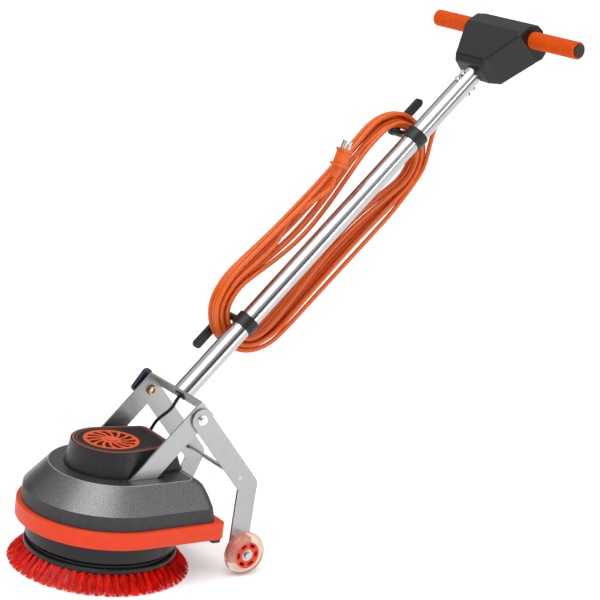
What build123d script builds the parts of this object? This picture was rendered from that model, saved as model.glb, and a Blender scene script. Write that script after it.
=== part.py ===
from build123d import *
import os
from math import atan2, cos, degrees, radians, sin, tan

# Walk-behind orbital floor machine, 330 mm brush. Millimetres, +Z up, operator at +Y, floor at z = 0.
os.makedirs("parts", exist_ok=True)

# ---- driving dimensions -------------------------------------------------
brush_tip_r = 165.0
brush_block_r = 138.0
brush_height = 29.0
block_top = 43.0
driver_r = 136.5
driver_floor = 48.5
driver_top = 78.0
orbit = 3.0
bumper_r = 157.6
bumper_back = 162.4
bumper_low = 82.0
bumper_high = 113.0
seam = 139.7
deck = 184.0
cover_top = 229.0
arm_in = 84.0
arm_t = 4.0
arm_w = 39.6
pivot = (-5.0, 157.6)
lean = 46.15
tube_r = 19.0
tube_wall = 1.6
bridge_t = 317.6
tube_end = 1200.0
wheel_pivot = (126.75, 287.4)
elbow = (245.0, 151.0)
axle = (222.0, 40.0)
wheel_r = 40.0
wheel_w = 24.0
wheel_x = 137.5
grip_r = 16.5
bar_half = 206.0
bar_t = 1259.6
bar_n = 7.0
cord_d = 9.0
stand_back = 331.0
lead_d = 6.5
hook_low_t = 492.0
hook_high_t = 978.0
hook_x = -68.0

# ---- frames -------------------------------------------------------------
along = Vector(0, cos(radians(lean)), sin(radians(lean)))
front = Vector(0, -sin(radians(lean)), cos(radians(lean)))
axis_n = -pivot[0] * sin(radians(lean)) + pivot[1] * cos(radians(lean))
root = front * axis_n
stem = Plane(origin=root, x_dir=(1, 0, 0), z_dir=along)


def at_handle(x, t, n):
    """Point at height t along the handle, n in front of its axis."""
    return root + Vector(x, 0, 0) + along * t + front * n


def side(x):
    """Vertical plane across the machine's width; its x is global Y, its y is global Z."""
    return Plane(origin=(x, 0, 0), x_dir=(0, 1, 0), z_dir=(1, 0, 0))


def handle_side(x):
    """Vertical plane whose x runs up the handle and whose y is in front of it."""
    return Plane(origin=root + Vector(x, 0, 0), x_dir=along, z_dir=(1, 0, 0))


def dee(r, centre, back, corner, height):
    """Round front, straight sides and a square back with rounded corners."""
    with BuildSketch(Plane.XY.offset(height)) as shape:
        with Locations((0, centre)):
            Circle(r)
        with Locations((0, (back + centre) / 2)):
            Rectangle(2 * r, back - centre)
        fillet(shape.vertices().group_by(Axis.Y)[-1], radius=corner)
    return shape


def teardrop(r, half, back, corner, height):
    """Round front tapering to a narrower square back."""
    with BuildSketch(Plane.XY.offset(height)) as shape:
        Circle(r)
        with Locations((half - corner, back - corner), (corner - half, back - corner)):
            Circle(corner)
        make_hull()
    return shape


def capsule(a, b, r):
    """Round-ended bar between two points of the sketch."""
    span = Vector(b[0] - a[0], b[1] - a[1])
    turn = degrees(atan2(span.Y, span.X))
    with Locations(((a[0] + b[0]) / 2, (a[1] + b[1]) / 2)):
        SlotCenterToCenter(span.length, 2 * r, rotation=turn)


def arc_radii(points):
    """Bend radii of a cord: 0.45 of the shorter run over the tangent of half the turn."""
    radii = []
    for before, here, after in zip(points, points[1:], points[2:]):
        one = Vector(*here) - Vector(*before)
        two = Vector(*after) - Vector(*here)
        radii.append(0.45 * min(one.length, two.length) / tan(radians(one.get_angle(two) / 2)))
    return radii


def save(builder, name):
    """Export with the frame's origin under the middle of the whole machine."""
    placed = builder.part.moved(Location((0, -stand_back, 0)))
    placed.label = name
    export_step(placed, "parts/" + name + ".step")


# ---- brush, driver and orbital drive -------------------------------------
with BuildPart() as brush_bristles:
    with BuildSketch(Plane.XY.offset(0.0)) as tips:
        Circle(brush_tip_r)
        Circle(48.0, mode=Mode.SUBTRACT)
    with BuildSketch(Plane.XY.offset(brush_height)) as roots:
        Circle(134.0)
        Circle(48.0, mode=Mode.SUBTRACT)
    loft()
save(brush_bristles, "brush_bristles")

with BuildPart() as brush_block:
    with BuildSketch(Plane.XY.offset(brush_height)):
        Circle(brush_block_r)
        Circle(46.0, mode=Mode.SUBTRACT)
    extrude(amount=10.0)
    with BuildSketch(Plane.XY.offset(brush_height + 10.0)):
        Circle(131.0)
        Circle(46.0, mode=Mode.SUBTRACT)
    extrude(amount=block_top - brush_height - 10.0)
    fillet(brush_block.edges().filter_by(GeomType.CIRCLE).group_by(SortBy.RADIUS)[-1], radius=3.0)
save(brush_block, "brush_block")

with BuildPart() as pad_driver:
    with BuildSketch(Plane.XY.offset(block_top)):
        Circle(127.0)
        Circle(38.0, mode=Mode.SUBTRACT)
    extrude(amount=driver_floor - block_top)
    with BuildSketch(Plane.XY.offset(driver_floor)):
        Circle(driver_r)
        with Locations((0, orbit)):
            Circle(18.0, mode=Mode.SUBTRACT)
    extrude(amount=5.0)
    with BuildSketch(Plane.XY.offset(driver_floor + 5.0)):
        Circle(driver_r)
        Circle(driver_r - 4.0, mode=Mode.SUBTRACT)
        with Locations((0, orbit)):
            Circle(30.0)
            Circle(20.0, mode=Mode.SUBTRACT)
    extrude(amount=driver_top - driver_floor - 5.0)
    with BuildSketch(Plane.XY.offset(driver_floor + 5.0)):
        with PolarLocations(82.0, 8):
            Rectangle(102.0, 4.0)
    extrude(amount=12.0)
    fillet(pad_driver.edges().filter_by(GeomType.CIRCLE).group_by(SortBy.RADIUS)[-1], radius=1.5)
save(pad_driver, "pad_driver")

with BuildPart() as driver_bearing:
    with BuildSketch(Plane.XY.offset(61.0)):
        with Locations((0, orbit)):
            Circle(20.0)
            Circle(10.06, mode=Mode.SUBTRACT)
    extrude(amount=14.0)
save(driver_bearing, "driver_bearing")

with BuildPart() as driver_bolt:
    with BuildSketch(Plane.XY.offset(56.5)):
        with Locations((0, orbit)):
            Circle(14.0)
    extrude(amount=2.5)
    with BuildSketch(Plane.XY.offset(50.0)):
        with Locations((0, orbit)):
            RegularPolygon(8.5, 6)
    extrude(amount=6.5)
save(driver_bolt, "driver_bolt")

with BuildPart() as eccentric_hub:
    with BuildSketch(Plane.XY.offset(59.0)):
        with Locations((0, orbit)):
            Circle(10.0)
    extrude(amount=21.0)
    with BuildSketch(Plane.XY.offset(80.0)):
        Circle(17.0)
    extrude(amount=22.0)
    with BuildSketch(Plane.XY.offset(86.0)):
        Circle(62.0)
        with Locations((0, 31.0)):
            Rectangle(130.0, 62.0, mode=Mode.SUBTRACT)
        Circle(17.0)
    extrude(amount=12.0)
    with Locations((0, 0, 92.0)):
        Cylinder(8.0, 20.0, mode=Mode.SUBTRACT)
save(eccentric_hub, "eccentric_hub")

with BuildPart() as rotor:
    with Locations((0, 0, 82.0)):
        Cylinder(8.0, 132.0, align=(Align.CENTER, Align.CENTER, Align.MIN))
    with Locations((0, 0, 132.0)):
        Cylinder(33.0, 40.0, align=(Align.CENTER, Align.CENTER, Align.MIN))
    fillet(rotor.edges().filter_by(GeomType.CIRCLE).group_by(SortBy.RADIUS)[-1], radius=1.0)
save(rotor, "rotor")

with BuildPart() as cooling_fan:
    with Locations((0, 0, 197.0)):
        Cylinder(58.0, 2.5, align=(Align.CENTER, Align.CENTER, Align.MIN))
        Cylinder(14.0, 13.0, align=(Align.CENTER, Align.CENTER, Align.MIN))
    with BuildSketch(Plane.XY.offset(199.5)):
        with PolarLocations(35.0, 10):
            Rectangle(44.0, 2.5, rotation=24.0)
    extrude(amount=11.0)
    with Locations((0, 0, 197.0)):
        Cylinder(8.0, 20.0, align=(Align.CENTER, Align.CENTER, Align.MIN), mode=Mode.SUBTRACT)
save(cooling_fan, "cooling_fan")

# ---- motor ---------------------------------------------------------------
with BuildPart() as motor_frame:
    with Locations((0, 0, 117.0)):
        Cylinder(66.0, 65.0, align=(Align.CENTER, Align.CENTER, Align.MIN))
    with Locations((0, 0, 122.0)):
        Cylinder(62.0, 60.0, align=(Align.CENTER, Align.CENTER, Align.MIN), mode=Mode.SUBTRACT)
    with Locations((0, 0, 106.0)):
        Cylinder(20.0, 16.0, align=(Align.CENTER, Align.CENTER, Align.MIN))
        Cylinder(16.0, 11.0, align=(Align.CENTER, Align.CENTER, Align.MIN), mode=Mode.SUBTRACT)
        Cylinder(10.0, 30.0, align=(Align.CENTER, Align.CENTER, Align.MIN), mode=Mode.SUBTRACT)
save(motor_frame, "motor_frame")

with BuildPart() as upper_end_bell:
    with Locations((0, 0, 182.0)):
        Cylinder(66.0, 4.0, align=(Align.CENTER, Align.CENTER, Align.MIN))
        Cylinder(21.0, 12.0, align=(Align.CENTER, Align.CENTER, Align.MIN))
        Cylinder(10.0, 30.0, align=(Align.CENTER, Align.CENTER, Align.MIN), mode=Mode.SUBTRACT)
    with Locations((0, 0, 184.0)):
        Cylinder(16.0, 10.0, align=(Align.CENTER, Align.CENTER, Align.MIN), mode=Mode.SUBTRACT)
    with BuildSketch(Plane.XY.offset(182.0)):
        with PolarLocations(43.0, 8):
            Circle(8.0)
    extrude(amount=4.0, mode=Mode.SUBTRACT)
save(upper_end_bell, "upper_end_bell")

with BuildPart() as motor_bearings:
    for low in (107.0, 184.0):
        with Locations((0, 0, low)):
            Cylinder(16.0, 10.0, align=(Align.CENTER, Align.CENTER, Align.MIN))
            Cylinder(8.06, 10.0, align=(Align.CENTER, Align.CENTER, Align.MIN), mode=Mode.SUBTRACT)
save(motor_bearings, "motor_bearings")

with BuildPart() as stator:
    with Locations((0, 0, 132.0)):
        Cylinder(62.0, 40.0, align=(Align.CENTER, Align.CENTER, Align.MIN))
        Cylinder(33.8, 40.0, align=(Align.CENTER, Align.CENTER, Align.MIN), mode=Mode.SUBTRACT)
save(stator, "stator")

# ---- housings --------------------------------------------------------------
with BuildPart() as lower_housing:
    add(dee(149.5, 0, 149.0, 19.0, bumper_high).sketch)
    add(dee(148.3, 0, 141.5, 18.0, seam).sketch)
    loft()
    add(dee(143.0, 0, 144.0, 16.0, 85.0).sketch)
    extrude(amount=bumper_high - 85.0)
    add(dee(140.0, 0, 141.0, 14.0, 85.0).sketch)
    extrude(amount=24.0, mode=Mode.SUBTRACT)
    add(dee(144.0, 0, 137.5, 15.0, 113.0).sketch)
    extrude(amount=40.0, mode=Mode.SUBTRACT)
    with BuildSketch(Plane.XY.offset(100.0)):
        Circle(20.0)
    extrude(amount=30.0, mode=Mode.SUBTRACT)
    with BuildSketch(Plane.XY.offset(113.0)):
        Circle(72.0)
        Circle(66.0, mode=Mode.SUBTRACT)
    extrude(amount=12.0)
    with BuildSketch(Plane.XY.offset(113.0)):
        Circle(66.0)
        Circle(20.0, mode=Mode.SUBTRACT)
    extrude(amount=4.0)
save(lower_housing, "lower_housing")

lip = 2.5
with BuildPart() as bumper:
    add(dee(bumper_r, 0, bumper_back, 15.0, bumper_low).sketch)
    extrude(amount=bumper_high - bumper_low)
    add(dee(143.0, 0, 144.0, 16.0, bumper_low).sketch)
    extrude(amount=bumper_high - bumper_low, mode=Mode.SUBTRACT)
    fillet(bumper.faces().sort_by(Axis.Z)[-1].outer_wire().edges(), radius=lip)
    fillet(bumper.faces().sort_by(Axis.Z)[0].outer_wire().edges(), radius=lip)
save(bumper, "bumper")

with BuildPart() as bumper_feet:
    with BuildSketch(Plane.XY.offset(bumper_low - 6.0)):
        with Locations((146.0, 146.0), (-146.0, 146.0)):
            RectangleRounded(18.0, 18.0, 4.0)
    extrude(amount=6.0)
save(bumper_feet, "bumper_feet")

shoulder = ((seam, 141.5), (155.0, 138.0), (165.0, 134.5), (173.5, 130.5), (180.0, 123.0), (deck, 111.0))
with BuildPart() as upper_housing:
    for height, back in shoulder:
        share = (height - seam) / (deck - seam)
        add(dee(148.3 - 33.3 * share, 7.0 * share, back, 18.0 - 4.0 * share, height).sketch)
    loft(ruled=True)
    with BuildPart(mode=Mode.SUBTRACT):
        for height, back in shoulder:
            share = (height - seam) / (deck - seam)
            low = height - 4.0
            add(dee(144.0 - 32.0 * share, 6.0 * share, back - 4.5, 15.0 - 3.0 * share, low).sketch)
        loft(ruled=True)
    with BuildSketch(Plane.XY.offset(170.0)):
        Circle(68.0)
        with Locations((arm_in + arm_t / 2, 18.0), (-arm_in - arm_t / 2, 18.0)):
            Rectangle(7.5, 96.0)
    extrude(amount=20.0, mode=Mode.SUBTRACT)
save(upper_housing, "upper_housing")

# Pivot brackets stand on the lower housing floor, one outside each arm of the yoke.
with BuildPart() as pivot_brackets:
    for x in (89.0, -95.0):
        with BuildSketch(side(x)):
            with Locations(pivot):
                Circle(16.0)
            with Locations((pivot[0], (113.0 + pivot[1]) / 2)):
                Rectangle(32.0, pivot[1] - 113.0)
            with Locations(pivot):
                Circle(6.06, mode=Mode.SUBTRACT)
        extrude(amount=6.0)
    for x in (102.0, -102.0):
        with Locations((x, pivot[0], 116.0)):
            Box(14.0, 44.0, 6.0)
save(pivot_brackets, "pivot_brackets")

with BuildPart() as pivot_pins:
    for x in (76.0, -98.0):
        with BuildSketch(side(x)):
            with Locations(pivot):
                Circle(6.0)
        extrude(amount=22.0)
save(pivot_pins, "pivot_pins")

# ---- motor cover and its top plate ------------------------------------------
lead_end = Vector(-50.0, 110.4, 218.0)
with BuildPart() as cover_grommet:
    with Locations(Plane(origin=lead_end + Vector(-3.0, -4.0, -13.0).normalized() * 0.3, z_dir=(-3.0, -4.0, -13.0))):
        Cylinder(6.0, 14.0, align=(Align.CENTER, Align.CENTER, Align.MIN))
save(cover_grommet, "cover_grommet")

with BuildPart() as motor_cover:
    add(teardrop(80.5, 66.0, 121.0, 16.0, deck).sketch)
    extrude(amount=3.0)
    add(teardrop(79.0, 64.0, 119.0, 15.0, deck + 3.0).sketch)
    add(teardrop(72.5, 58.5, 102.5, 13.0, cover_top).sketch)
    loft()
    with BuildPart(mode=Mode.SUBTRACT):
        add(teardrop(75.0, 60.0, 115.0, 12.0, deck).sketch)
        add(teardrop(69.0, 54.5, 98.5, 10.0, cover_top - 5.0).sketch)
        loft()
    add(teardrop(70.0, 56.0, 100.0, 11.0, cover_top - 2.0).sketch)
    extrude(amount=2.0, mode=Mode.SUBTRACT)
    add(cover_grommet.part, mode=Mode.SUBTRACT)
save(motor_cover, "motor_cover")

with BuildPart() as top_plate:
    add(teardrop(70.0, 56.0, 100.0, 11.0, cover_top - 2.0).sketch)
    extrude(amount=2.6)
    with Locations((0, 0, cover_top - 2.0)):
        Cylinder(50.5, 5.0, align=(Align.CENTER, Align.CENTER, Align.MIN), mode=Mode.SUBTRACT)
save(top_plate, "top_plate")

with BuildSketch() as swirl_slot:
    with BuildLine():
        Polyline((17.5, -2.0), (17.5, 2.2), (28.0, 7.5), (39.5, 18.5), (44.5, 8.5), (33.0, 0.5), close=True)
    make_face()

with BuildPart() as vent_grille:
    with BuildSketch(Plane.XY.offset(cover_top - 2.0)):
        Circle(50.5)
    extrude(amount=3.4)
    with BuildSketch(Plane.XY.offset(cover_top - 1.0)):
        with PolarLocations(0, 14):
            add(swirl_slot.sketch)
    extrude(amount=4.0, mode=Mode.SUBTRACT)
    with Locations((0, 0, cover_top + 1.4)):
        Cylinder(11.0, 1.6, align=(Align.CENTER, Align.CENTER, Align.MIN))
save(vent_grille, "vent_grille")

# ---- yoke --------------------------------------------------------------------
arm_top = bridge_t
with BuildPart() as yoke_arm_right:
    with BuildSketch(handle_side(arm_in)) as plate:
        with Locations((pivot[0] * along.Y + pivot[1] * along.Z, 0)):
            Circle(arm_w / 2)
        low = pivot[0] * along.Y + pivot[1] * along.Z
        with Locations(((low + arm_top) / 2, 0)):
            Rectangle(arm_top - low, arm_w)
        with Locations((low, 0)):
            Circle(6.0, mode=Mode.SUBTRACT)
    extrude(amount=arm_t)
    with BuildSketch(side(arm_in)):
        with Locations(wheel_pivot):
            Circle(5.0)
    extrude(amount=arm_t, mode=Mode.SUBTRACT)
save(yoke_arm_right, "yoke_arm_right")

with BuildPart() as yoke_arm_left:
    add(mirror(yoke_arm_right.part, about=Plane.YZ))
save(yoke_arm_left, "yoke_arm_left")

with BuildPart() as yoke_bridge:
    with BuildSketch(stem.offset(bridge_t - 4.0)):
        Rectangle(2 * arm_in, arm_w)
        Circle(8.0, mode=Mode.SUBTRACT)
    extrude(amount=4.0)
save(yoke_bridge, "yoke_bridge")

with BuildPart() as bridge_grommet:
    with BuildSketch(stem.offset(bridge_t - 7.0)):
        Circle(11.0)
    extrude(amount=3.0)
    with BuildSketch(stem.offset(bridge_t - 4.0)):
        Circle(8.0)
    extrude(amount=4.0)
save(bridge_grommet, "bridge_grommet")

# ---- handle tube, hooks and fasteners ------------------------------------------
with BuildPart() as handle_tube:
    with BuildSketch(stem.offset(bridge_t)):
        Circle(tube_r)
        Circle(tube_r - tube_wall, mode=Mode.SUBTRACT)
    extrude(amount=tube_end - bridge_t)
    for t in (1121.0, 1136.0):
        with Locations(Plane(origin=at_handle(0, t, 0), z_dir=front)):
            Cylinder(3.0, 60.0, mode=Mode.SUBTRACT)
save(handle_tube, "handle_tube")

with BuildPart() as handle_bolts:
    for t in (1121.0, 1136.0):
        with Locations(Plane(origin=at_handle(0, t, 0), z_dir=front)):
            Cylinder(3.0, 46.0)
            with Locations((0, 0, 19.5)):
                Cylinder(5.0, 4.5, align=(Align.CENTER, Align.CENTER, Align.MIN))
save(handle_bolts, "handle_bolts")

with BuildPart() as handle_nuts:
    for t in (1121.0, 1136.0):
        with BuildSketch(Plane(origin=at_handle(0, t, -24.5), x_dir=(1, 0, 0), z_dir=front)):
            RegularPolygon(5.6, 6)
            Circle(3.0, mode=Mode.SUBTRACT)
        extrude(amount=5.0)
save(handle_nuts, "handle_nuts")


def ring(t):
    """Section of the clamp ring around the tube, at its lower edge."""
    with BuildSketch(stem.offset(t - 12.0)) as shape:
        Circle(tube_r + 3.5)
        Circle(tube_r, mode=Mode.SUBTRACT)
    return shape


def disc(x, t, r):
    """Disc facing sideways on the handle's axis."""
    with BuildSketch(handle_side(x)) as shape:
        with Locations((t, 0)):
            Circle(r)
    return shape


def finger(t, way):
    """Flat finger that runs along the handle from the end of its stem."""
    with BuildSketch(handle_side(hook_x - 5.0)) as shape:
        capsule((t, 0), (t + way * 78.0, 0), 8.0)
    return shape


with BuildPart() as lower_cord_hook:
    add(ring(hook_low_t).sketch)
    extrude(amount=24.0, dir=along)
    add(disc(hook_x, hook_low_t, 7.0).sketch)
    extrude(amount=-hook_x - tube_r - 2.0, dir=(1, 0, 0))
    add(finger(hook_low_t, -1).sketch)
    extrude(amount=9.0, dir=(1, 0, 0))
save(lower_cord_hook, "lower_cord_hook")

with BuildPart() as upper_hook_clamp:
    add(ring(hook_high_t).sketch)
    extrude(amount=24.0, dir=along)
save(upper_hook_clamp, "upper_hook_clamp")

with BuildPart() as upper_cord_hook:
    add(disc(hook_x, hook_high_t, 7.0).sketch)
    extrude(amount=-hook_x - tube_r - 3.8, dir=(1, 0, 0))
    add(finger(hook_high_t, 1).sketch)
    extrude(amount=9.0, dir=(1, 0, 0))
save(upper_cord_hook, "upper_cord_hook")

# ---- handle head ------------------------------------------------------------------
head_low = 1153.0
head_half = 80.0
panel = Plane(origin=root, x_dir=(1, 0, 0), z_dir=front)


def head_body(inset):
    """Right half of the head: a side outline cut to a front outline that widens to the bar."""
    with BuildPart() as body:
        with BuildSketch(handle_side(0)):
            with BuildLine():
                Polyline((head_low, -16), (1156, 26), (1168, 36), (1246, 41), (1270, 36), (1286, 20),
                         (1289, 4), (1282, -16), (1272, -38), (1256, -42), (1240, -36), (1172, -36), close=True)
            outline = make_face()
            fillet(outline.vertices(), radius=7.0)
            offset(amount=-inset, kind=Kind.INTERSECTION)
        extrude(amount=head_half - inset)
        with BuildSketch(panel):
            with BuildLine():
                Polyline((-38, 1150), (38, 1150), (45, 1172), (head_half, 1238), (head_half, 1300),
                         (-head_half, 1300), (-head_half, 1238), (-45, 1172), close=True)
            panel_face = make_face()
            fillet(panel_face.vertices(), radius=12.0)
            offset(amount=-inset, kind=Kind.INTERSECTION)
        extrude(amount=80.0, both=True, mode=Mode.INTERSECT)
        if inset == 0:
            fillet([edge for edge in body.edges() if abs(edge.center().X) > 0.01], radius=6.0)
    return body


with BuildPart() as head_shell_right:
    add(head_body(0.0).part)
    add(head_body(4.0).part, mode=Mode.SUBTRACT)
    with BuildSketch(stem.offset(head_low - 20.0)):
        Circle(tube_r)
    extrude(amount=60.0, mode=Mode.SUBTRACT)
    with BuildSketch(handle_side(0)):
        with Locations((bar_t, bar_n)):
            Circle(11.0)
    extrude(amount=head_half, mode=Mode.SUBTRACT)
    with BuildSketch(panel):
        with Locations((0, 1206.0)):
            Rectangle(20.0, 30.0)
    extrude(amount=-60.0, mode=Mode.SUBTRACT)
save(head_shell_right, "head_shell_right")

gland_x = -16.0
gland_n = -23.0
with BuildPart() as head_shell_left:
    add(mirror(head_shell_right.part, about=Plane.YZ))
    with Locations(Plane(origin=at_handle(gland_x, head_low - 2.0, gland_n), z_dir=along)):
        Cylinder(7.0, 20.0, align=(Align.CENTER, Align.CENTER, Align.MIN), mode=Mode.SUBTRACT)
save(head_shell_left, "head_shell_left")

with BuildPart() as cord_gland:
    with Locations(Plane(origin=at_handle(gland_x, head_low - 16.0, gland_n), z_dir=along)):
        Cylinder(7.0, 34.0, align=(Align.CENTER, Align.CENTER, Align.MIN))
        Cylinder(cord_d / 2, 14.0, align=(Align.CENTER, Align.CENTER, Align.MIN), mode=Mode.SUBTRACT)
save(cord_gland, "cord_gland")

with BuildPart() as handlebar:
    with BuildSketch(handle_side(-bar_half + 3.0)):
        with Locations((bar_t, bar_n)):
            Circle(11.0)
            Circle(9.0, mode=Mode.SUBTRACT)
    extrude(amount=2 * bar_half - 6.0)
save(handlebar, "handlebar")

for name, start, reach in (("grip_right", head_half, 1), ("grip_left", -head_half, -1)):
    with BuildPart() as grip:
        with BuildSketch(handle_side(start)):
            with Locations((bar_t, bar_n)):
                Circle(grip_r)
                Circle(11.0, mode=Mode.SUBTRACT)
        extrude(amount=reach * (bar_half - head_half - 3.0))
        fillet(grip.edges().filter_by(GeomType.CIRCLE).group_by(SortBy.RADIUS)[-1], radius=1.5)
    save(grip, name)

with BuildPart() as grip_caps:
    for start, reach in ((bar_half - 3.0, 1), (3.0 - bar_half, -1)):
        with BuildSketch(handle_side(start)):
            with Locations((bar_t, bar_n)):
                Circle(12.5)
        extrude(amount=reach * 3.0)
save(grip_caps, "grip_caps")

with BuildPart() as head_screws:
    for reach in (1, -1):
        with Locations(Plane(origin=at_handle(reach * 44.0, 1196.0, -36.0), z_dir=-front)):
            Cylinder(4.0, 1.6, align=(Align.CENTER, Align.CENTER, Align.MIN))
save(head_screws, "head_screws")

# Rocker switch on the operator's face of the head.
switch_t = 1206.0
switch_n = -32.0
with BuildPart() as switch_bezel:
    with BuildSketch(panel.offset(-39.0)):
        with Locations((0, switch_t)):
            RectangleRounded(26.0, 36.0, 3.0)
            Rectangle(18.0, 28.0, mode=Mode.SUBTRACT)
    extrude(amount=3.0)
    with BuildSketch(panel.offset(-36.0)):
        with Locations((0, switch_t)):
            Rectangle(20.0, 30.0)
            Rectangle(18.0, 28.0, mode=Mode.SUBTRACT)
    extrude(amount=12.0)
save(switch_bezel, "switch_bezel")

with BuildPart() as rocker_switch:
    with BuildSketch(handle_side(-8.7)):
        with BuildLine():
            Polyline((switch_t - 11.5, -34), (switch_t - 12.0, -40.5), (switch_t, -38), (switch_t + 11.0, -43.0),
                     (switch_t + 12.0, -36), (switch_t, -28), close=True)
        make_face()
    extrude(amount=17.4)
save(rocker_switch, "rocker_switch")

# ---- mains cord: lead to the coil, the coil on its hooks, lead to the plug -----------------
coil_t = 733.0
coil_n = -15.0
coil_long = 588.0
coil_wide = 184.0
coil_near = -27.0
coil_far = -61.0
with BuildPart() as cord_coil:
    with BuildSketch(handle_side(coil_far)):
        with Locations((coil_t, coil_n)):
            SlotOverall(coil_long, coil_wide)
            SlotOverall(coil_long - 66.0, coil_wide - 66.0, mode=Mode.SUBTRACT)
    extrude(amount=coil_near - coil_far)
save(cord_coil, "cord_coil")


def cord(points, d):
    """Round cord along straight runs joined by tangent arcs; prints its bend radii and length."""
    radii = arc_radii(points)
    with BuildPart() as tube:
        with BuildLine() as path:
            FilletPolyline(*points, radius=radii)
        with BuildSketch(Plane(origin=points[0], z_dir=points[1] - points[0])):
            Circle(d / 2)
        sweep(path=path.wires()[0])
    length = sum(edge.length for edge in path.line.edges())
    print("radii", [round(r, 1) for r in radii], "length", round(length, 1),
          "volume ratio", round(tube.part.volume / (3.14159265 * d * d / 4 * length), 4))
    return tube


mains_route = [at_handle(gland_x, head_low - 2.0, gland_n), at_handle(gland_x - 0.5, 1112.0, gland_n - 0.5),
               at_handle(gland_x - 3.0, 1076.0, gland_n - 4.0), at_handle(gland_x - 12.0, 1045.0, gland_n - 12.0),
               at_handle(gland_x - 22.0, 1014.0, gland_n - 22.0)]
mains_lead = cord(mains_route, cord_d)
save(mains_lead, "mains_lead")

plug_t = 836.0
plug_n = 84.0
plug_x = -11.0
plug_dir = (along * 0.88 + front * 0.475).normalized()
plug_at = at_handle(plug_x, plug_t, plug_n)
plug_route = [plug_at - plug_dir * 36.0, plug_at - plug_dir * 62.0, at_handle(-18.0, 752.0, 55.0),
              at_handle(-38.0, 728.0, 56.0)]
plug_lead = cord(plug_route, cord_d)
save(plug_lead, "plug_lead")

with BuildPart() as plug_body:
    with BuildSketch(Plane(origin=plug_at + plug_dir * 20.0, x_dir=(1, 0, 0), z_dir=-plug_dir)):
        RectangleRounded(25.0, 29.0, 7.0)
    extrude(amount=5.0)
    with BuildSketch(Plane(origin=plug_at + plug_dir * 15.0, x_dir=(1, 0, 0), z_dir=-plug_dir)):
        RectangleRounded(22.0, 25.0, 7.0)
    extrude(amount=24.0)
    with BuildSketch(Plane(origin=plug_at - plug_dir * 9.0, x_dir=(1, 0, 0), z_dir=-plug_dir)):
        RectangleRounded(27.0, 34.0, 8.0)
    extrude(amount=5.0)
    with Locations(Plane(origin=plug_at - plug_dir * 36.0, z_dir=plug_dir)):
        Cone(6.0, 8.5, 22.0, align=(Align.CENTER, Align.CENTER, Align.MIN))
save(plug_body, "plug_body")

with BuildPart() as plug_blades:
    with BuildSketch(Plane(origin=plug_at + plug_dir * 20.0, x_dir=(1, 0, 0), z_dir=plug_dir)):
        with Locations((-6.35, 3.0), (6.35, 3.0)):
            Rectangle(1.5, 6.3)
        with Locations((0, -8.8)):
            Circle(2.4)
    extrude(amount=16.0)
save(plug_blades, "plug_blades")

# ---- motor lead from the yoke bridge to the motor cover ---------------------------------------
lead_start = at_handle(0, bridge_t - 7.0, 0)
lead_route = [lead_start, Vector(-3.0, 127.0, 286.0), Vector(-12.0, 123.5, 272.0), Vector(-24.0, 119.5, 259.0),
              Vector(-37.0, 116.0, 246.0), Vector(-47.0, 114.4, 231.0), lead_end]
motor_lead = cord(lead_route, lead_d)
save(motor_lead, "motor_lead")

# ---- wheel frame -----------------------------------------------------------------------------------
plate_t = 4.0
frame_in = arm_in + arm_t + 1.0
leg_splay = 22.0
with BuildPart() as wheel_arm_right:
    with BuildSketch(side(frame_in)):
        capsule(wheel_pivot, elbow, 20.0)
        with Locations(wheel_pivot):
            Circle(5.06, mode=Mode.SUBTRACT)
    extrude(amount=plate_t)
    with BuildSketch(side(frame_in - 2.0)):
        capsule(elbow, axle, 20.0)
    extrude(amount=leg_splay + 10.0)
    with BuildSketch(Plane.XZ.offset(-150.0)):
        with BuildLine():
            Polyline((frame_in, 320), (frame_in, elbow[1] - 8.0), (frame_in + leg_splay, axle[1] + 12.0),
                     (frame_in + leg_splay, 10), (frame_in + leg_splay + plate_t, 10),
                     (frame_in + leg_splay + plate_t, axle[1] + 12.5), (frame_in + plate_t, elbow[1] - 7.5),
                     (frame_in + plate_t, 320), close=True)
        make_face()
    extrude(amount=200.0, both=True, mode=Mode.INTERSECT)
    with BuildSketch(side(frame_in)):
        with Locations(axle):
            Circle(4.0)
        with Locations((elbow[0] - 20.0, elbow[1] + 17.0)):
            Circle(4.0)
    extrude(amount=40.0, mode=Mode.SUBTRACT)
save(wheel_arm_right, "wheel_arm_right")

with BuildPart() as wheel_arm_left:
    add(mirror(wheel_arm_right.part, about=Plane.YZ))
save(wheel_arm_left, "wheel_arm_left")

with BuildPart() as frame_rod:
    with BuildSketch(side(-frame_in - plate_t)):
        with Locations((elbow[0] - 20.0, elbow[1] + 17.0)):
            Circle(4.0)
    extrude(amount=2 * frame_in + 2 * plate_t)
save(frame_rod, "frame_rod")

# Pivot bolts: heads outside on the right, hex nuts inside on the left arm.
with BuildPart() as wheel_pivot_bolts:
    for x, reach in ((arm_in - 2.0, 1), (-arm_in + 2.0, -1)):
        with BuildSketch(side(x)):
            with Locations(wheel_pivot):
                Circle(5.0)
        extrude(amount=reach * (frame_in + plate_t + 2.0 - arm_in))
    for x, reach in ((frame_in + plate_t, 1), (-frame_in - plate_t, -1)):
        with BuildSketch(side(x + 0.3 * reach)):
            with Locations(wheel_pivot):
                Circle(9.5)
        extrude(amount=reach * 1.2)
        with BuildSketch(side(x + 1.5 * reach)):
            with Locations(wheel_pivot):
                Circle(6.5)
        extrude(amount=reach * 5.0)
save(wheel_pivot_bolts, "wheel_pivot_bolts")

with BuildPart() as wheel_pivot_nuts:
    for x, reach in ((arm_in, -1), (-arm_in, 1)):
        with BuildSketch(side(x)):
            with Locations(wheel_pivot):
                RegularPolygon(9.0, 6)
                Circle(5.0, mode=Mode.SUBTRACT)
        extrude(amount=reach * 6.5)
save(wheel_pivot_nuts, "wheel_pivot_nuts")

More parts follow.
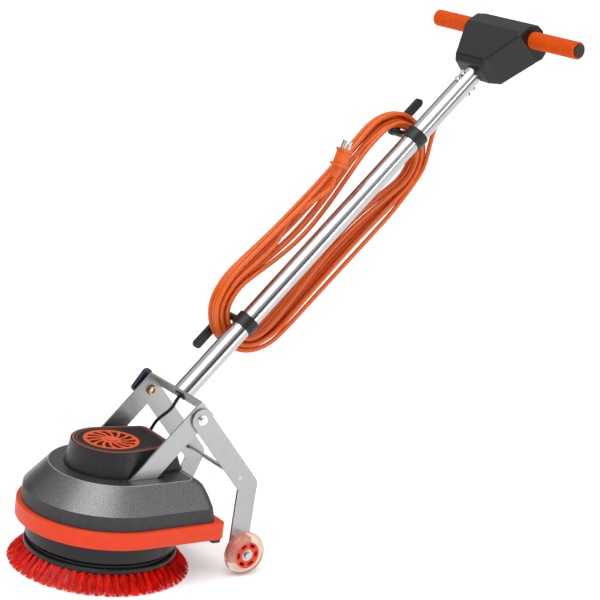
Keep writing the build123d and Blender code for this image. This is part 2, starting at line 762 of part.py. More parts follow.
# Lock lever on the left end of the pivot.
lever_x = -frame_in - plate_t - 7.0
with BuildPart() as lock_lever:
    with BuildSketch(side(lever_x)):
        with Locations(wheel_pivot):
            Circle(13.0)
        with Locations((126.0, 313.0)):
            Circle(9.5)
        with Locations((104.0, 287.0)):
            Circle(7.0)
        make_hull()
    extrude(amount=-10.0)
    fillet(lock_lever.edges(), radius=2.0)
save(lock_lever, "lock_lever")

# ---- wheels -------------------------------------------------------------------------------------------
bearing_r = 11.0
for name, centre in (("right", wheel_x), ("left", -wheel_x)):
    with BuildPart() as tyre:
        with BuildSketch(side(centre - wheel_w / 2)):
            with Locations(axle):
                Circle(wheel_r)
                Circle(25.0, mode=Mode.SUBTRACT)
        extrude(amount=wheel_w)
        fillet(tyre.edges().filter_by(GeomType.CIRCLE).group_by(SortBy.RADIUS)[-1], radius=10.0)
    save(tyre, "wheel_tyre_" + name)
    with BuildPart() as hub:
        with BuildSketch(side(centre - wheel_w / 2 + 1.0)):
            with Locations(axle):
                Circle(25.0)
                Circle(bearing_r + 0.05, mode=Mode.SUBTRACT)
        extrude(amount=wheel_w - 2.0)
        with BuildSketch(side(centre - wheel_w / 2)):
            with Locations(axle):
                with PolarLocations(18.6, 6):
                    SlotOverall(12.5, 6.4, rotation=90)
        extrude(amount=wheel_w, mode=Mode.SUBTRACT)
    save(hub, "wheel_hub_" + name)

with BuildPart() as wheel_bearings:
    for x in (wheel_x - 11.0, wheel_x + 4.0, -wheel_x - 11.0, -wheel_x + 4.0):
        with BuildSketch(side(x)):
            with Locations(axle):
                Circle(bearing_r)
                Circle(4.0, mode=Mode.SUBTRACT)
        extrude(amount=7.0)
save(wheel_bearings, "wheel_bearings")

with BuildPart() as axle_bolts:
    for reach in (1, -1):
        with BuildSketch(side(reach * (frame_in + leg_splay - 4.0))):
            with Locations(axle):
                Circle(4.0)
        extrude(amount=reach * (wheel_x + wheel_w / 2 - frame_in - leg_splay + 4.0))
        with BuildSketch(side(reach * (wheel_x + wheel_w / 2 - 0.2))):
            with Locations(axle):
                Circle(6.5)
        extrude(amount=reach * 4.2)
        with BuildSketch(side(reach * (frame_in + leg_splay + plate_t))):
            with Locations(axle):
                Circle(6.5)
        extrude(amount=reach * (wheel_x - 11.2 - frame_in - leg_splay - plate_t))
        with BuildSketch(side(reach * frame_in + reach * leg_splay)):
            with Locations(axle):
                RegularPolygon(7.0, 6)
        extrude(amount=reach * -5.0)
save(axle_bolts, "axle_bolts")
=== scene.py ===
import math
import random

import bpy
from mathutils import Matrix, Vector


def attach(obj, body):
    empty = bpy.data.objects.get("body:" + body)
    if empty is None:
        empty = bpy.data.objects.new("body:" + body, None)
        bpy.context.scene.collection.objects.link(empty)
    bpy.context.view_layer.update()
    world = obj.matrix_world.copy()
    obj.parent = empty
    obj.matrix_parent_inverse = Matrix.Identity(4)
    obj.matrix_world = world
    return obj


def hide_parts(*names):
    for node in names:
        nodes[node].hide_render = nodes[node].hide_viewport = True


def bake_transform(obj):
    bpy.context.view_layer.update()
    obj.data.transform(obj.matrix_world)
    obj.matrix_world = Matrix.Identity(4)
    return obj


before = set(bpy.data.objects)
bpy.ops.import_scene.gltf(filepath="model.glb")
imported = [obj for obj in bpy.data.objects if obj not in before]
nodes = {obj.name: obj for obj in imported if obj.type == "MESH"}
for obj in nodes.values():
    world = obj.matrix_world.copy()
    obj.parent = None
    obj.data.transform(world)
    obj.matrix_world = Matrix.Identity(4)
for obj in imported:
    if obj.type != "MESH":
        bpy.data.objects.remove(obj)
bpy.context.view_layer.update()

random.seed(7)

# ---- frame helpers: millimetres about the brush axis, and along the leaning handle ----
BACK = 331.0
LEAN = math.radians(46.15)
ALONG = Vector((0, math.cos(LEAN), math.sin(LEAN)))
FRONT = Vector((0, -math.sin(LEAN), math.cos(LEAN)))
AXIS_POINT_Y = -5.0
AXIS_POINT_Z = 157.6
AXIS_N = -AXIS_POINT_Y * math.sin(LEAN) + AXIS_POINT_Z * math.cos(LEAN)


def at_brush(x, y, z):
    """Metres in the frame, from millimetres about the brush axis."""
    return Vector((x, y - BACK, z)) / 1000.0


def at_handle(x, t, n):
    """Metres in the frame, from millimetres across, along and in front of the handle tube."""
    v = Vector((x, 0, 0)) + ALONG * t + FRONT * (n + AXIS_N)
    return at_brush(v.x, v.y, v.z)


# ---- materials ------------------------------------------------------------------
COAT_ROUGHNESS = 0.12
COLOUR_DETAIL = 3.0
BUMP_DETAIL = 2.0
BUMP_HEIGHT = 0.0006
DARK_STOP, LIGHT_STOP = 0.3, 0.7
SMOOTHEST = 0.02


def material(name, colour, rough=0.5, metal=0.0, vary=0.08, scale=60.0, bump=0.0, bump_scale=600.0,
             stretch=(1, 1, 1), rough_vary=0.08, coat=0.0, spec=0.5):
    """A surface whose colour and roughness vary a little with noise, with a fine bump if asked."""
    m = bpy.data.materials.new(name)
    m.use_nodes = True
    nt = m.node_tree
    shader = nt.nodes["Principled BSDF"]
    shader.inputs["Metallic"].default_value = metal
    shader.inputs["Coat Weight"].default_value = coat
    shader.inputs["Coat Roughness"].default_value = COAT_ROUGHNESS
    shader.inputs["Specular IOR Level"].default_value = spec
    coord = nt.nodes.new("ShaderNodeTexCoord")
    mapping = nt.nodes.new("ShaderNodeMapping")
    mapping.inputs["Scale"].default_value = stretch
    nt.links.new(coord.outputs["Object"], mapping.inputs["Vector"])
    noise = nt.nodes.new("ShaderNodeTexNoise")
    noise.inputs["Scale"].default_value = scale
    noise.inputs["Detail"].default_value = COLOUR_DETAIL
    nt.links.new(mapping.outputs["Vector"], noise.inputs["Vector"])
    ramp = nt.nodes.new("ShaderNodeValToRGB")
    ramp.color_ramp.elements[0].position = DARK_STOP
    ramp.color_ramp.elements[1].position = LIGHT_STOP
    ramp.color_ramp.elements[0].color = [c * (1 - vary) for c in colour] + [1]
    ramp.color_ramp.elements[1].color = [min(1, c * (1 + vary)) for c in colour] + [1]
    nt.links.new(noise.outputs["Fac"], ramp.inputs["Fac"])
    nt.links.new(ramp.outputs["Color"], shader.inputs["Base Color"])
    span = nt.nodes.new("ShaderNodeMapRange")
    span.inputs["To Min"].default_value = max(SMOOTHEST, rough - rough_vary)
    span.inputs["To Max"].default_value = min(1.0, rough + rough_vary)
    nt.links.new(noise.outputs["Fac"], span.inputs["Value"])
    nt.links.new(span.outputs["Result"], shader.inputs["Roughness"])
    if bump:
        fine = nt.nodes.new("ShaderNodeTexNoise")
        fine.inputs["Scale"].default_value = bump_scale
        fine.inputs["Detail"].default_value = BUMP_DETAIL
        nt.links.new(mapping.outputs["Vector"], fine.inputs["Vector"])
        hump = nt.nodes.new("ShaderNodeBump")
        hump.inputs["Strength"].default_value = bump
        hump.inputs["Distance"].default_value = BUMP_HEIGHT
        nt.links.new(fine.outputs["Fac"], hump.inputs["Height"])
        nt.links.new(hump.outputs["Normal"], shader.inputs["Normal"])
    return m


materials = {
    "bumper": material("bumper", (0.76, 0.050, 0.008), 0.45, vary=0.05, bump=0.08, bump_scale=300,
                       spec=0.3),
    "housing_dark": material("housing_dark", (0.040, 0.040, 0.042), 0.55, vary=0.15, bump=0.25,
                             bump_scale=900, spec=0.35),
    "housing_metal": material("housing_metal", (0.15, 0.15, 0.155), 0.33, metal=0.85, vary=0.5, scale=700,
                              bump=0.5, bump_scale=800, rough_vary=0.12, coat=0.1),
    "cover": material("cover", (0.014, 0.014, 0.015), 0.36, vary=0.3, scale=200, bump=0.5,
                      bump_scale=520, spec=0.4),
    "plate": material("plate", (0.012, 0.010, 0.011), 0.5, vary=0.15, scale=25, spec=0.3),
    "plate_edge": material("plate_edge", (0.30, 0.085, 0.045), 0.4, vary=0.1, scale=30),
    "vent": material("vent", (0.72, 0.10, 0.028), 0.5, vary=0.08, scale=40, spec=0.2),
    "boss": material("boss", (0.13, 0.15, 0.14), 0.45, vary=0.08, scale=50),
    "bristle": material("bristle", (0.80, 0.010, 0.003), 0.45, vary=0.4, scale=90,
                        stretch=(1, 1, 0.3), spec=0.2),
    "block": material("block", (0.012, 0.012, 0.013), 0.34, vary=0.1, bump=0.08,
                      bump_scale=500, spec=0.35),
    "alu": material("alu", (0.42, 0.425, 0.43), 0.36, metal=1.0, vary=0.05, scale=500, stretch=(1, 1, 0.06),
                    bump=0.06, bump_scale=900),
    "steel": material("steel", (0.55, 0.55, 0.56), 0.28, metal=1.0, vary=0.06, scale=80),
    "chrome": material("chrome", (0.80, 0.80, 0.81), 0.10, metal=1.0, vary=0.03, scale=200, rough_vary=0.04),
    "tube": material("tube", (0.50, 0.50, 0.51), 0.17, metal=1.0, vary=0.03, scale=900,
                     stretch=(1, 0.02, 0.02), rough_vary=0.04),
    "iron": material("iron", (0.20, 0.20, 0.21), 0.5, metal=0.9, vary=0.12, scale=60, bump=0.15),
    "brass": material("brass", (0.62, 0.42, 0.20), 0.3, metal=1.0, vary=0.12, scale=200),
    "black": material("black", (0.010, 0.010, 0.0105), 0.36, vary=0.15, scale=40, bump=0.25,
                      bump_scale=1100, spec=0.35),
    "rubber": material("rubber", (0.012, 0.012, 0.013), 0.35, vary=0.15, scale=50, bump=0.1, spec=0.5),
    "grip": material("grip", (0.68, 0.075, 0.002), 0.75, vary=0.14, scale=220, bump=0.6,
                     bump_scale=520, spec=0.15),
    "cord": material("cord", (0.74, 0.118, 0.008), 0.33, vary=0.06, scale=70, bump=0.05,
                     bump_scale=700, spec=0.45),
    "plug": material("plug", (0.74, 0.12, 0.010), 0.36, vary=0.05, scale=60, spec=0.4),
    "hub": material("hub", (0.74, 0.045, 0.008), 0.35, vary=0.06, scale=60, spec=0.4),
    "navy": material("navy", (0.012, 0.014, 0.032), 0.3, vary=0.15, scale=60, coat=0.2),
    # Painted highlight: light metal for the strip along the deck's edge, standing in for the light on that
    # edge.
    "rim_highlight": material("rim_highlight", (0.62, 0.62, 0.63), 0.3, metal=0.6, vary=0.06, scale=60),
    "fan": material("fan", (0.05, 0.05, 0.05), 0.5, vary=0.1),
}
TYRE_CLEARNESS = 0.82
TYRE_IOR = 1.38
tyre = material("tyre", (1.0, 0.74, 0.60), 0.10, vary=0.04, scale=30, rough_vary=0.05)
tyre.node_tree.nodes["Principled BSDF"].inputs["Transmission Weight"].default_value = TYRE_CLEARNESS
tyre.node_tree.nodes["Principled BSDF"].inputs["IOR"].default_value = TYRE_IOR
materials["tyre"] = tyre


def mask_by_height(look, low, colour):
    """Gives a material another colour below a height, from the object's own coordinates."""
    nt = materials[look].node_tree
    shader = nt.nodes["Principled BSDF"]
    source = shader.inputs["Base Color"].links[0].from_socket
    coord = nt.nodes.new("ShaderNodeTexCoord")
    split = nt.nodes.new("ShaderNodeSeparateXYZ")
    nt.links.new(coord.outputs["Object"], split.inputs["Vector"])
    under = nt.nodes.new("ShaderNodeMath")
    under.operation = "LESS_THAN"
    under.inputs[1].default_value = low
    nt.links.new(split.outputs["Z"], under.inputs[0])
    mix = nt.nodes.new("ShaderNodeMix")
    mix.data_type = "RGBA"
    mix.inputs["B"].default_value = colour
    nt.links.new(under.outputs["Value"], mix.inputs["Factor"])
    nt.links.new(source, mix.inputs["A"])
    nt.links.new(mix.outputs["Result"], shader.inputs["Base Color"])


# Painted shade: the orange grille is coloured near-black below its face, standing in for the shade inside its
# slots.
GRILLE_FACE_HEIGHT = 0.2285
SLOT_SHADE_COLOUR = (0.008, 0.007, 0.007, 1)
mask_by_height("vent", GRILLE_FACE_HEIGHT, SLOT_SHADE_COLOUR)

NODE_LOOKS = {
    "bumper": "bumper", "bumper_feet": "rubber",
    "lower_housing": "housing_dark", "upper_housing": "housing_metal",
    "motor_cover": "cover", "cover_grommet": "rubber", "top_plate": "plate", "vent_grille": "vent",
    "motor_frame": "alu", "upper_end_bell": "alu", "stator": "iron", "motor_bearings": "steel",
    "pivot_brackets": "steel", "pivot_pins": "steel", "rotor": "steel", "cooling_fan": "fan",
    "eccentric_hub": "iron", "driver_bolt": "steel", "driver_bearing": "steel", "pad_driver": "block",
    "brush_block": "block", "brush_bristles": "bristle", "yoke_arm_right": "alu", "yoke_arm_left": "alu",
    "yoke_bridge": "alu", "bridge_grommet": "rubber", "motor_lead": "rubber", "handle_tube": "tube",
    "handle_bolts": "chrome", "handle_nuts": "steel", "lower_cord_hook": "black", "upper_hook_clamp": "black",
    "upper_cord_hook": "black", "head_shell_right": "black", "head_shell_left": "black",
    "cord_gland": "rubber",
    "handlebar": "steel", "grip_right": "grip", "grip_left": "grip", "grip_caps": "rubber",
    "head_screws": "rubber",
    "switch_bezel": "rubber", "rocker_switch": "black", "cord_coil": "cord", "mains_lead": "cord",
    "plug_lead": "cord", "plug_body": "plug", "plug_blades": "steel", "wheel_arm_right": "alu",
    "wheel_arm_left": "alu", "frame_rod": "steel", "wheel_pivot_bolts": "chrome", "wheel_pivot_nuts": "brass",
    "lock_lever": "navy", "wheel_tyre_right": "tyre", "wheel_tyre_left": "tyre", "wheel_hub_right": "hub",
    "wheel_hub_left": "hub", "wheel_bearings": "steel", "axle_bolts": "steel",
}
for name, look in NODE_LOOKS.items():
    nodes[name].data.materials.clear()
    nodes[name].data.materials.append(materials[look])


def add_mesh(name, verts, faces, look, smooth=False):
    mesh = bpy.data.meshes.new(name)
    mesh.from_pydata([tuple(v) for v in verts], [], faces)
    mesh.update()
    obj = bpy.data.objects.new(name, mesh)
    bpy.context.scene.collection.objects.link(obj)
    mesh.materials.append(materials[look])
    if smooth:
        for poly in mesh.polygons:
            poly.use_smooth = True
    return obj


# ---- bristles: tufts of tapering strands, flared outwards ------------------------
ROOT_HEIGHT = 31.0
WIDEST_TIP = 164.2
TUFT_WIDTH = 0.0032
TUFT_CROWDING = 0.55
ROOT_SCATTER = 1.5
TIP_SCATTER = 0.75
TIP_TURN = 0.9
TIP_LOWEST = 0.25
TIP_HEIGHT, TIP_HEIGHT_SCATTER = 0.5, 1.2
BOW_SCATTER = 1.2
THINNEST, THICKEST = 0.45, 0.8
FLARE_POWER = 1.15
TAPER = 0.25
BACK_SHARE, SIDE_SHARE = 0.6, 0.8
STRAND_PARTS = 3
STRAND_SIDES = 3


def tuft_ring(verts, faces, root_r, count, tip_scale, strands, spread, turn):
    """Adds one ring of tufts; each strand is a thin three-sided rod that bows and tapers."""
    for i in range(count):
        angle = math.tau * (i + turn) / count
        flare = root_r * tip_scale - root_r
        for _ in range(strands):
            a = angle + random.gauss(0, 1) * TUFT_WIDTH / (root_r / 1000.0) * TUFT_CROWDING
            r0 = root_r + random.gauss(0, ROOT_SCATTER)
            r1 = min(WIDEST_TIP, r0 + flare + random.gauss(0, spread * TIP_SCATTER))
            b = a + random.gauss(0, spread) / root_r * TIP_TURN
            low = max(TIP_LOWEST, random.gauss(TIP_HEIGHT, TIP_HEIGHT_SCATTER))
            bow = random.gauss(0.0, BOW_SCATTER)
            thickness = random.uniform(THINNEST, THICKEST)
            base = len(verts)
            for s in range(STRAND_PARTS + 1):
                f = s / STRAND_PARTS
                r = r0 + (r1 - r0) * f ** FLARE_POWER + bow * math.sin(math.pi * f)
                c = a + (b - a) * f
                z = ROOT_HEIGHT + (low - ROOT_HEIGHT) * f
                x, y = r * math.cos(c), r * math.sin(c)
                tx, ty = -math.sin(c), math.cos(c)
                rx, ry = math.cos(c), math.sin(c)
                wide = thickness * (1.0 - TAPER * f)
                verts.append(at_brush(x + tx * wide, y + ty * wide, z))
                for side in (1, -1):
                    verts.append(at_brush(x - tx * wide * BACK_SHARE + rx * wide * SIDE_SHARE * side,
                                   y - ty * wide * BACK_SHARE + ry * wide * SIDE_SHARE * side, z))
            for s in range(STRAND_PARTS):
                for k in range(STRAND_SIDES):
                    n = (k + 1) % STRAND_SIDES
                    q = base + STRAND_SIDES * s
                    faces.append((q + k, q + n, q + n + STRAND_SIDES, q + k + STRAND_SIDES))
            faces.append((base, base + 2, base + 1))
            tip = base + STRAND_PARTS * STRAND_SIDES
            faces.append((tip, tip + 1, tip + 2))


# Each ring: radius at the root, tufts, flare, strands in a tuft, spread of the tips, turn in tufts.
TUFT_RINGS = [(134.5, 60, 1.22, 30, 3.2, 0.0), (128.0, 60, 1.21, 30, 3.2, 0.5),
              (121.0, 56, 1.19, 24, 3.2, 0.2), (111.0, 50, 1.14, 16, 2.8, 0.6),
              (98.0, 40, 1.08, 12, 2.4, 0.7), (82.0, 32, 1.04, 12, 2.0, 0.1), (64.0, 26, 1.02, 12, 1.6, 0.4)]
tuft_verts, tuft_faces = [], []
for ring in TUFT_RINGS:
    tuft_ring(tuft_verts, tuft_faces, *ring)
bristles = add_mesh("bristle_tufts", tuft_verts, tuft_faces, "bristle")
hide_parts("brush_bristles")
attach(bristles, "brush")


# ---- cord: gland to coil to plug, one smooth line ---------------------------------
COIL_T, COIL_N = 733.0, -15.0
HALF_RUN = 202.0
COIL_RADIUS = 92.0
# Where each turn lies on the hooks: across the handle, and inwards of the coil's outside.
LANES = [(-32.5, 5.2), (-43.8, 5.0), (-55.0, 5.2), (-55.4, 15.8), (-55.2, 26.5), (-43.8, 26.4),
         (-44.0, 15.6), (-32.5, 26.6), (-32.5, 15.8)]


def stadium(u, inset):
    """Point of the oval at share u of a turn, going down the operator's side and up the front."""
    r = COIL_RADIUS - inset
    arc = math.pi * r
    run = 2 * HALF_RUN
    s = u * (2 * run + 2 * arc)
    if s < run:
        return COIL_T + HALF_RUN - s, COIL_N - r
    s -= run
    if s < arc:
        a = s / r
        return COIL_T - HALF_RUN - r * math.sin(a), COIL_N - r * math.cos(a)
    s -= arc
    if s < run:
        return COIL_T - HALF_RUN + s, COIL_N + r
    s -= run
    a = s / r
    return COIL_T + HALF_RUN + r * math.sin(a), COIL_N + r * math.cos(a)


# How far each turn hangs inwards behind and in front of the tube, and how far it wanders sideways.
SWAY_REAR = (0.0, 8.0, 14.0, 10.0, 22.0, 30.0, 16.0, 24.0, 5.0)
SWAY_FRONT = (6.0, 11.0, 15.0, 20.0, 34.0, 27.0, 24.0, 38.0, 17.0)
LIFT = (3.0, -3.0, 3.0, 1.0, -3.0, 3.0, -4.0, -2.0, 2.0)
TURNS = 9
STEPS = 22
LAST_TURN_END = 0.62
LANE_CHANGE_START, LANE_CHANGE_SHARE = 0.68, 0.26
REAR_SHARE = 0.36
FRONT_START, FRONT_SHARE = 0.46, 0.42
FRONT_POWER = 1.4
SWAY_WAVE, LIFT_WAVE = 1.2, 0.8
coil = []
phase = [random.uniform(0, math.tau) for _ in range(4 * TURNS + 8)]
for k in range(TURNS):
    here, then = LANES[k], LANES[min(k + 1, len(LANES) - 1)]
    for i in range(STEPS):
        u = i / STEPS
        if k == TURNS - 1 and u > LAST_TURN_END:
            break
        share = min(1.0, max(0.0, (u - LANE_CHANGE_START) / LANE_CHANGE_SHARE))
        share = share * share * (3 - 2 * share)
        x = here[0] + (then[0] - here[0]) * share
        inset = here[1] + (then[1] - here[1]) * share
        rear = math.sin(math.pi * u / REAR_SHARE) if u < REAR_SHARE else 0.0
        front = 0.0
        if FRONT_START < u < FRONT_START + FRONT_SHARE:
            front = math.sin(math.pi * (u - FRONT_START) / FRONT_SHARE) ** FRONT_POWER
        sway = SWAY_REAR[k] * rear + SWAY_FRONT[k] * front
        sway += math.sin(math.tau * u * 2 + phase[k]) * SWAY_WAVE
        lift = LIFT[k] * (rear + front) + math.sin(math.tau * u * 3 + phase[k + TURNS]) * LIFT_WAVE
        t, n = stadium(u, inset + sway)
        coil.append(at_handle(x + lift, t, n))

GLAND_LEAD = [(-16.0, 1150.0, -23.0), (-16.2, 1131.0, -23.2), (-16.5, 1112.0, -23.5), (-19.0, 1076.0, -27.0),
              (-26.0, 1050.0, -34.0), (-31.0, 1032.0, -46.0), (-33.0, 1010.0, -64.0), (-32.5, 988.0, -80.0),
              (-32.0, 962.0, -93.0)]
PLUG_LEAD = [(-40.0, 700.0, 62.0), (-30.0, 728.0, 58.0), (-18.0, 756.0, 58.5)]
lead_in = [at_handle(*spot) for spot in GLAND_LEAD]
plug_dir = (ALONG * 0.88 + FRONT * 0.475).normalized()
plug_at = at_handle(-11.0, 836.0, 84.0)
lead_out = [at_handle(*spot) for spot in PLUG_LEAD]
lead_out += [plug_at - plug_dir * behind for behind in (0.058, 0.046, 0.035)]
route = lead_in + coil[1:] + lead_out

CORD_RADIUS = 0.0045
curve = bpy.data.curves.new("mains_cord", "CURVE")
curve.dimensions = "3D"
curve.resolution_u = 8
curve.bevel_depth = CORD_RADIUS
curve.bevel_resolution = 5
curve.use_fill_caps = True
line = curve.splines.new("NURBS")
line.points.add(len(route) - 1)
for point, spot in zip(line.points, route):
    point.co = (*spot, 1.0)
line.order_u = 3
line.use_endpoint_u = True
cord = bpy.data.objects.new("mains_cord", curve)
bpy.context.scene.collection.objects.link(cord)
curve.materials.append(materials["cord"])
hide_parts("mains_lead", "cord_coil", "plug_lead")
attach(cord, "handle")


def bspline(points, steps=8):
    """Points along the quadratic B-spline that the control points steer, clamped at both ends."""
    out = [points[0]]
    for i in range(1, len(points) - 1):
        a = points[0] if i == 1 else (points[i - 1] + points[i]) / 2
        c = points[-1] if i == len(points) - 2 else (points[i] + points[i + 1]) / 2
        for s in range(1, steps + 1):
            f = s / steps
            out.append(a * (1 - f) ** 2 + points[i] * 2 * f * (1 - f) + c * f * f)
    return out


# ---- motor lead: a tube that bends between the handle and the base -------------------
def tube_mesh(name, path, radius, look, sides=12):
    """A closed round tube along a path."""
    verts, faces = [], []
    up = Vector((1, 0, 0))
    for i, p in enumerate(path):
        a = path[max(0, i - 1)]
        b = path[min(len(path) - 1, i + 1)]
        d = (b - a).normalized()
        one = d.cross(up).normalized()
        two = d.cross(one).normalized()
        for k in range(sides):
            w = math.tau * k / sides
            verts.append(p + one * math.cos(w) * radius + two * math.sin(w) * radius)
    for i in range(len(path) - 1):
        for k in range(sides):
            n = (k + 1) % sides
            faces.append((i * sides + k, i * sides + n, (i + 1) * sides + n, (i + 1) * sides + k))
    faces.append(tuple(range(sides))[::-1])
    faces.append(tuple(range((len(path) - 1) * sides, len(path) * sides)))
    return add_mesh(name, verts, faces, look, smooth=True)


MOTOR_LEAD = [(-1.0, 128.5, 293.0), (-4.5, 125.5, 281.0), (-13.0, 122.5, 269.5), (-24.0, 119.5, 259.0),
              (-35.0, 116.8, 248.0), (-43.5, 115.2, 236.5), (-48.0, 113.4, 226.0), (-50.0, 110.6, 218.3)]
MOTOR_LEAD_RADIUS = 0.00325
lead_path = bspline([at_handle(0, 310.8, 0)] + [at_brush(*spot) for spot in MOTOR_LEAD], 6)
lead = tube_mesh("motor_lead_tube", lead_path, MOTOR_LEAD_RADIUS, "rubber")
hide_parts("motor_lead")
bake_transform(lead)


# ---- printed border lines on the top plate -------------------------------------------
CORNER_STEPS = 8
STRIP_DEPTH = 0.5


def teardrop(r, half, back, corner, count=56):
    """Outline of the plate: round front, straight sides, square back with round corners."""
    cx, cy = half - corner, back - corner
    span = math.hypot(cx, cy)
    tilt = math.atan2(cy, cx) - math.acos((r - corner) / span)
    out = []
    for i in range(count + 1):
        a = tilt - (math.pi + 2 * tilt) * i / count
        out.append((r * math.cos(a), r * math.sin(a)))
    for i in range(CORNER_STEPS + 1):
        a = math.pi - tilt - (math.pi / 2 - tilt) * i / CORNER_STEPS
        out.append((-cx + corner * math.cos(a), cy + corner * math.sin(a)))
    for i in range(CORNER_STEPS + 1):
        a = math.pi / 2 - (math.pi / 2 - tilt) * i / CORNER_STEPS
        out.append((cx + corner * math.cos(a), cy + corner * math.sin(a)))
    return out


def strip(name, outer, inner, z, look):
    """A thin flat band between two outlines, fixed to the base."""
    verts = [at_brush(x, y, z) for x, y in outer] + [at_brush(x, y, z) for x, y in inner]
    verts += [at_brush(x, y, z - STRIP_DEPTH) for x, y in outer]
    verts += [at_brush(x, y, z - STRIP_DEPTH) for x, y in inner]
    n = len(outer)
    faces = []
    for i in range(n):
        j = (i + 1) % n
        faces.append((i, j, n + j, n + i))
        faces.append((2 * n + j, 2 * n + i, 3 * n + i, 3 * n + j))
        faces.append((j, i, 2 * n + i, 2 * n + j))
        faces.append((n + i, n + j, 3 * n + j, 3 * n + i))
    obj = add_mesh(name, verts, faces, look)
    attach(obj, "base")
    return obj


BORDER_TOP = 229.85
INNER_LINE_TOP = 229.75
strip("plate_border", teardrop(69.8, 55.8, 99.8, 10.8), teardrop(66.2, 52.4, 96.4, 8.6), BORDER_TOP,
      "plate_edge")
strip("plate_inner_line", teardrop(62.6, 49.0, 93.0, 7.4), teardrop(61.4, 47.9, 91.9, 7.0), INNER_LINE_TOP,
      "plate_edge")


# ---- painted highlight: a light metal strip along the deck's edge, standing in for the light that edge catches ---
def dee(r, centre, back, corner, count=96):
    """Outline with a round front, straight sides and a square back with rounded corners."""
    out = []
    for i in range(count + 1):
        a = -math.pi * i / count
        out.append((r * math.cos(a), centre + r * math.sin(a)))
    for i in range(CORNER_STEPS + 1):
        a = math.pi - math.pi / 2 * i / CORNER_STEPS
        out.append((corner - r + corner * math.cos(a), back - corner + corner * math.sin(a)))
    for i in range(CORNER_STEPS + 1):
        a = math.pi / 2 - math.pi / 2 * i / CORNER_STEPS
        out.append((r - corner + corner * math.cos(a), back - corner + corner * math.sin(a)))
    return out


DECK_RIM_TOP = 184.25
strip("deck_edge_highlight", dee(114.9, 7.0, 110.9, 14.0), dee(113.4, 7.0, 109.4, 12.5), DECK_RIM_TOP, "rim_highlight")


# ---- grey cap on the centre of the grille ------------------------------------------------
def disc(name, centre, r, z_low, z_high, look, sides=48):
    verts = []
    for z in (z_low, z_high):
        for k in range(sides):
            a = math.tau * k / sides
            verts.append(at_brush(centre[0] + r * math.cos(a), centre[1] + r * math.sin(a), z))
    faces = [tuple(range(sides))[::-1], tuple(range(sides, 2 * sides))]
    for k in range(sides):
        n = (k + 1) % sides
        faces.append((k, n, sides + n, sides + k))
    return add_mesh(name, verts, faces, look)


CAP_RADIUS = 11.3
CAP_BOTTOM, CAP_TOP = 229.5, 231.2
cap = disc("grille_cap", (0, 0), CAP_RADIUS, CAP_BOTTOM, CAP_TOP, "boss")
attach(cap, "base")

# ---- stage, light and camera ---------------------------------------------------------------
FLOOR_HALF = 60
FLOOR_DROP = 0.0006
FLOOR_GLOW = 0.22
floor_mesh = bpy.data.meshes.new("floor")
floor_corners = [(x * FLOOR_HALF, y * FLOOR_HALF, 0) for x, y in ((-1, -1), (1, -1), (1, 1), (-1, 1))]
floor_mesh.from_pydata(floor_corners, [], [(0, 1, 2, 3)])
floor = bpy.data.objects.new("floor", floor_mesh)
floor.location.z = -FLOOR_DROP
bpy.context.scene.collection.objects.link(floor)
floor_mat = material("floor_paper", (0.93, 0.93, 0.935), 0.8, vary=0.01, scale=3, spec=0.1)
floor_mat.node_tree.nodes["Principled BSDF"].inputs["Emission Color"].default_value = (1, 1, 1, 1)
floor_mat.node_tree.nodes["Principled BSDF"].inputs["Emission Strength"].default_value = FLOOR_GLOW
floor_mesh.materials.append(floor_mat)

# Grey of the sky at each height, from straight down (0) to straight up (1).
SKY_STOPS = ((0.0, 0.34), (0.10, 0.07), (0.30, 0.10), (0.46, 0.62), (0.74, 1.0), (1.0, 0.55))
SKY_BLUE = 1.02
SKY_STRENGTH = 0.9
world = bpy.data.worlds.new("studio")
bpy.context.scene.world = world
world.use_nodes = True
tree = world.node_tree
sky_coord = tree.nodes.new("ShaderNodeTexCoord")
split = tree.nodes.new("ShaderNodeSeparateXYZ")
sky = tree.nodes.new("ShaderNodeValToRGB")
for height, grey in SKY_STOPS:
    stop = sky.color_ramp.elements.new(height)
    stop.color = (grey, grey, grey * SKY_BLUE, 1)
sky.color_ramp.elements.remove(sky.color_ramp.elements[0])
sky.color_ramp.elements.remove(sky.color_ramp.elements[-1])
tree.links.new(sky_coord.outputs["Generated"], split.inputs["Vector"])
tree.links.new(split.outputs["Z"], sky.inputs["Fac"])
tree.links.new(sky.outputs["Color"], tree.nodes["Background"].inputs["Color"])
tree.nodes["Background"].inputs["Strength"].default_value = SKY_STRENGTH


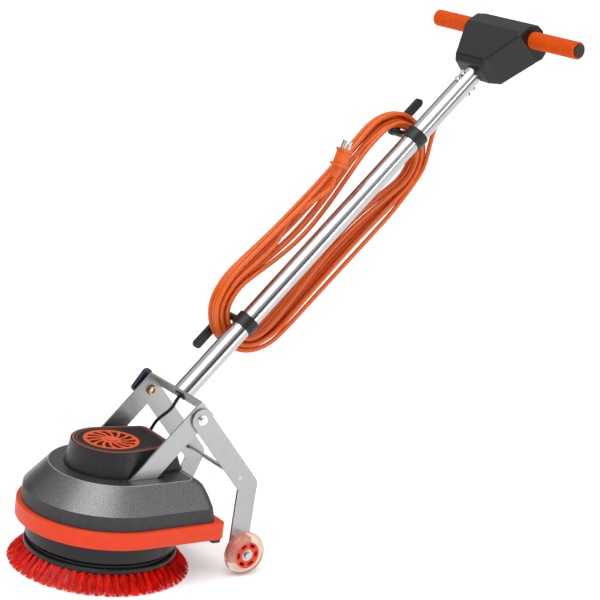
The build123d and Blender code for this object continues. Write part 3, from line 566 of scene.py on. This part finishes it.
SUN_STRENGTH = 1.5
SUN_SPREAD = math.radians(48)
SUN_FROM = (0.5, -0.75, 1.5)
sun_data = bpy.data.lights.new("sun", "SUN")
sun_data.energy = SUN_STRENGTH
sun_data.angle = SUN_SPREAD
sun = bpy.data.objects.new("sun", sun_data)
sun.rotation_euler = Vector(SUN_FROM).to_track_quat("Z", "Y").to_euler()
bpy.context.scene.collection.objects.link(sun)

STRIP_PLACE, STRIP_TARGET = Vector((2.2, 0.9, 0.9)), Vector((0, -0.2, 0.3))
STRIP_SIZE = (0.35, 1.8)
STRIP_POWER = 9
strip_data = bpy.data.lights.new("strip", "AREA")
strip_data.shape = "RECTANGLE"
strip_data.size, strip_data.size_y = STRIP_SIZE
strip_data.energy = STRIP_POWER
strip_light = bpy.data.objects.new("strip", strip_data)
strip_light.location = STRIP_PLACE
strip_light.rotation_euler = (STRIP_TARGET - STRIP_PLACE).to_track_quat("-Z", "Y").to_euler()
bpy.context.scene.collection.objects.link(strip_light)

# The camera's place and turn come from a perspective fit to the machine's main outlines.
CAMERA_PLACE = (2692.0, -1669.5, 1304.4)
FOCAL_LENGTH, PICTURE_WIDTH = 1864.97, 600.0
SENSOR_WIDTH = 36.0
AZ, EL, ROLL = map(math.radians, (52.76, 13.81, 7.61))
away = Vector((math.sin(AZ) * math.cos(EL), -math.cos(AZ) * math.cos(EL), math.sin(EL)))
right = Vector((math.cos(AZ), math.sin(AZ), 0))
up = away.cross(right)
cam_x = right * math.cos(ROLL) + up * math.sin(ROLL)
cam_y = -right * math.sin(ROLL) + up * math.cos(ROLL)
lens = bpy.data.cameras.new("camera")
lens.lens = FOCAL_LENGTH * SENSOR_WIDTH / PICTURE_WIDTH
lens.sensor_width = SENSOR_WIDTH
camera = bpy.data.objects.new("camera", lens)
pose = Matrix((cam_x, cam_y, away)).transposed().to_4x4()
pose.translation = at_brush(*CAMERA_PLACE)
camera.matrix_world = pose
bpy.context.scene.collection.objects.link(camera)
bpy.context.scene.camera = camera
bpy.context.scene.view_settings.view_transform = "Standard"
